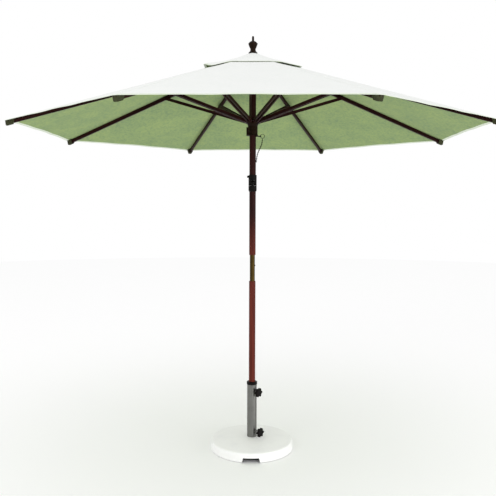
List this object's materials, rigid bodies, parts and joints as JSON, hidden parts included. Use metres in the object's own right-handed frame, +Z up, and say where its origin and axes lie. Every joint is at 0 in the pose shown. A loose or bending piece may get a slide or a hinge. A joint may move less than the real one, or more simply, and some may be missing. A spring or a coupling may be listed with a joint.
{
  "type": "patio umbrella with base",
  "caption": "Octagonal folding market umbrella on a jointed wooden pole, with a tilt joint, vented canopy and a round weighted base with clamping knobs.",
  "frame": {"origin": "on the floor at the middle of the round base, under the pole's axis", "axes": "+Z up along the pole; -Y towards the middle of a straight canopy edge; the tilt pin lies along X"},
  "size_m": [2.4954, 2.4954, 2.43],
  "materials": {
    "painted_concrete": "satin",
    "rubber": "matte",
    "brushed_steel": "satin",
    "bright_steel": "gloss",
    "black_plastic": "satin",
    "brass": "satin",
    "dark_chain": "satin",
    "rope": "matte",
    "canopy_fabric": "matte",
    "stained_wood": "satin"
  },
  "bodies": {
    "base": {"base_disc": "painted_concrete", "base_pads": "rubber", "anchor_plate": "brushed_steel", "base_tube": "brushed_steel", "pole_seat": "black_plastic", "tube_collar": "black_plastic", "knob_bosses": "brushed_steel"},
    "upper_knob": {"upper_knob": "black_plastic", "upper_stud": "brushed_steel"},
    "lower_knob": {"lower_knob": "black_plastic", "lower_stud": "brushed_steel"},
    "lower_pole": {"lower_pole": "stained_wood"},
    "middle_pole": {"middle_pole": "stained_wood", "brass_ferrule": "brass", "ferrule_screw": "brass", "tilt_socket": "black_plastic"},
    "upper_pole": {"upper_pole": "stained_wood", "tilt_head": "black_plastic", "tilt_pivot": "bright_steel", "pulley_axle": "bright_steel", "lift_rope": "rope", "crown_hub": "stained_wood", "crown_pins": "bright_steel", "crown_cap": "stained_wood", "finial": "stained_wood", "vent_canopy": "canopy_fabric", "chain_staple": "bright_steel", "pin_chain": "dark_chain"},
    "tilt_button": {"tilt_button": "black_plastic"},
    "pulley_wheel": {"pulley_wheel": "black_plastic"},
    "lock_pin": {"lock_pin": "bright_steel", "pull_ring": "bright_steel"},
    "runner": {"runner": "stained_wood", "runner_pins": "bright_steel"},
    "rib_1": {"rib_1": "stained_wood", "canopy_panel_1": "canopy_fabric"},
    "strut_1": {"strut_1": "stained_wood"},
    "rib_2": {"rib_2": "stained_wood", "canopy_panel_2": "canopy_fabric"},
    "strut_2": {"strut_2": "stained_wood"},
    "rib_3": {"rib_3": "stained_wood", "canopy_panel_3": "canopy_fabric"},
    "strut_3": {"strut_3": "stained_wood"},
    "rib_4": {"rib_4": "stained_wood", "canopy_panel_4": "canopy_fabric"},
    "strut_4": {"strut_4": "stained_wood"},
    "rib_5": {"rib_5": "stained_wood", "canopy_panel_5": "canopy_fabric"},
    "strut_5": {"strut_5": "stained_wood"},
    "rib_6": {"rib_6": "stained_wood", "canopy_panel_6": "canopy_fabric"},
    "strut_6": {"strut_6": "stained_wood"},
    "rib_7": {"rib_7": "stained_wood", "canopy_panel_7": "canopy_fabric"},
    "strut_7": {"strut_7": "stained_wood"},
    "rib_8": {"rib_8": "stained_wood", "canopy_panel_8": "canopy_fabric"},
    "strut_8": {"strut_8": "stained_wood"}
  },
  "joints": [
    {"name": "upper knob turn", "type": "hinge", "parent": "base", "child": "upper_knob", "pos_m": [0.0383, -0.03214, 0.345], "axis": [0.766, -0.6428, 0], "continuous": true},
    {"name": "lower knob turn", "type": "hinge", "parent": "base", "child": "lower_knob", "pos_m": [0.04903, -0.04114, 0.106], "axis": [0.766, -0.6428, 0], "continuous": true},
    {"name": "pole lift-out", "type": "slide", "parent": "base", "child": "lower_pole", "axis": [0, 0, 1], "range_m": [0, 0.33]},
    {"name": "pole joint pull-apart", "type": "slide", "parent": "lower_pole", "child": "middle_pole", "axis": [0, 0, 1], "range_m": [0, 0.085]},
    {"name": "canopy tilt", "type": "hinge", "parent": "middle_pole", "child": "upper_pole", "pos_m": [0, 0, 1.586], "axis": [-1, 0, 0], "range_deg": [-30, 0]},
    {"name": "tilt button press", "type": "slide", "parent": "upper_pole", "child": "tilt_button", "axis": [1, 0, 0], "range_m": [0, 0.003], "stiffness_N_per_m": 800},
    {"name": "pulley turn", "type": "hinge", "parent": "upper_pole", "child": "pulley_wheel", "pos_m": [-0.01485, -0.01485, 2.19], "axis": [-0.7071, -0.7071, 0], "continuous": true},
    {"name": "lock pin pull-out", "type": "slide", "parent": "upper_pole", "child": "lock_pin", "axis": [1, 0, 0], "range_m": [0, 0.05]},
    {"name": "canopy fold", "type": "hinge", "parent": "upper_pole", "child": "rib_1", "pos_m": [0.04065, 0.01684, 2.283], "axis": [-0.3827, 0.9239, 0], "range_deg": [0, 70], "deforming": ["canopy_panel_1", "canopy_panel_2", "canopy_panel_3", "canopy_panel_4", "canopy_panel_5", "canopy_panel_6", "canopy_panel_7", "canopy_panel_8", "vent_canopy", "lift_rope", "pin_chain", "lock_pin", "pull_ring"]},
    {"name": "strut 1 fold", "type": "hinge", "parent": "rib_1", "child": "strut_1", "pos_m": [0.54303, 0.22493, 2.1121], "axis": [-0.3827, 0.9239, 0], "range_deg": [-140, 0]},
    {"name": "rib 2 fold", "type": "hinge", "parent": "upper_pole", "child": "rib_2", "pos_m": [0.01684, 0.04065, 2.283], "axis": [-0.9239, 0.3827, 0], "range_deg": [0, 70]},
    {"name": "strut 2 fold", "type": "hinge", "parent": "rib_2", "child": "strut_2", "pos_m": [0.22493, 0.54303, 2.1121], "axis": [-0.9239, 0.3827, 0], "range_deg": [-140, 0]},
    {"name": "rib 3 fold", "type": "hinge", "parent": "upper_pole", "child": "rib_3", "pos_m": [-0.01684, 0.04065, 2.283], "axis": [-0.9239, -0.3827, 0], "range_deg": [0, 70]},
    {"name": "strut 3 fold", "type": "hinge", "parent": "rib_3", "child": "strut_3", "pos_m": [-0.22493, 0.54303, 2.1121], "axis": [-0.9239, -0.3827, 0], "range_deg": [-140, 0]},
    {"name": "rib 4 fold", "type": "hinge", "parent": "upper_pole", "child": "rib_4", "pos_m": [-0.04065, 0.01684, 2.283], "axis": [-0.3827, -0.9239, 0], "range_deg": [0, 70]},
    {"name": "strut 4 fold", "type": "hinge", "parent": "rib_4", "child": "strut_4", "pos_m": [-0.54303, 0.22493, 2.1121], "axis": [-0.3827, -0.9239, 0], "range_deg": [-140, 0]},
    {"name": "rib 5 fold", "type": "hinge", "parent": "upper_pole", "child": "rib_5", "pos_m": [-0.04065, -0.01684, 2.283], "axis": [0.3827, -0.9239, 0], "range_deg": [0, 70]},
    {"name": "strut 5 fold", "type": "hinge", "parent": "rib_5", "child": "strut_5", "pos_m": [-0.54303, -0.22493, 2.1121], "axis": [0.3827, -0.9239, 0], "range_deg": [-140, 0]},
    {"name": "rib 6 fold", "type": "hinge", "parent": "upper_pole", "child": "rib_6", "pos_m": [-0.01684, -0.04065, 2.283], "axis": [0.9239, -0.3827, 0], "range_deg": [0, 70]},
    {"name": "strut 6 fold", "type": "hinge", "parent": "rib_6", "child": "strut_6", "pos_m": [-0.22493, -0.54303, 2.1121], "axis": [0.9239, -0.3827, 0], "range_deg": [-140, 0]},
    {"name": "rib 7 fold", "type": "hinge", "parent": "upper_pole", "child": "rib_7", "pos_m": [0.01684, -0.04065, 2.283], "axis": [0.9239, 0.3827, 0], "range_deg": [0, 70]},
    {"name": "strut 7 fold", "type": "hinge", "parent": "rib_7", "child": "strut_7", "pos_m": [0.22493, -0.54303, 2.1121], "axis": [0.9239, 0.3827, 0], "range_deg": [-140, 0]},
    {"name": "rib 8 fold", "type": "hinge", "parent": "upper_pole", "child": "rib_8", "pos_m": [0.04065, -0.01684, 2.283], "axis": [0.3827, 0.9239, 0], "range_deg": [0, 70]},
    {"name": "strut 8 fold", "type": "hinge", "parent": "rib_8", "child": "strut_8", "pos_m": [0.54303, -0.22493, 2.1121], "axis": [0.3827, 0.9239, 0], "range_deg": [-140, 0]},
    {"name": "runner pivot", "type": "hinge", "parent": "strut_1", "child": "runner", "pos_m": [0.04065, 0.01684, 1.94119], "axis": [-0.3827, 0.9239, 0], "range_deg": [0, 70]}
  ],
  "couplings": [
    {"joint": "strut 1 fold", "follows": "canopy fold", "ratio": -2},
    {"joint": "rib 2 fold", "follows": "canopy fold", "ratio": 1},
    {"joint": "strut 2 fold", "follows": "canopy fold", "ratio": -2},
    {"joint": "rib 3 fold", "follows": "canopy fold", "ratio": 1},
    {"joint": "strut 3 fold", "follows": "canopy fold", "ratio": -2},
    {"joint": "rib 4 fold", "follows": "canopy fold", "ratio": 1},
    {"joint": "strut 4 fold", "follows": "canopy fold", "ratio": -2},
    {"joint": "rib 5 fold", "follows": "canopy fold", "ratio": 1},
    {"joint": "strut 5 fold", "follows": "canopy fold", "ratio": -2},
    {"joint": "rib 6 fold", "follows": "canopy fold", "ratio": 1},
    {"joint": "strut 6 fold", "follows": "canopy fold", "ratio": -2},
    {"joint": "rib 7 fold", "follows": "canopy fold", "ratio": 1},
    {"joint": "strut 7 fold", "follows": "canopy fold", "ratio": -2},
    {"joint": "rib 8 fold", "follows": "canopy fold", "ratio": 1},
    {"joint": "strut 8 fold", "follows": "canopy fold", "ratio": -2},
    {"joint": "runner pivot", "follows": "canopy fold", "ratio": 1}
  ]
}
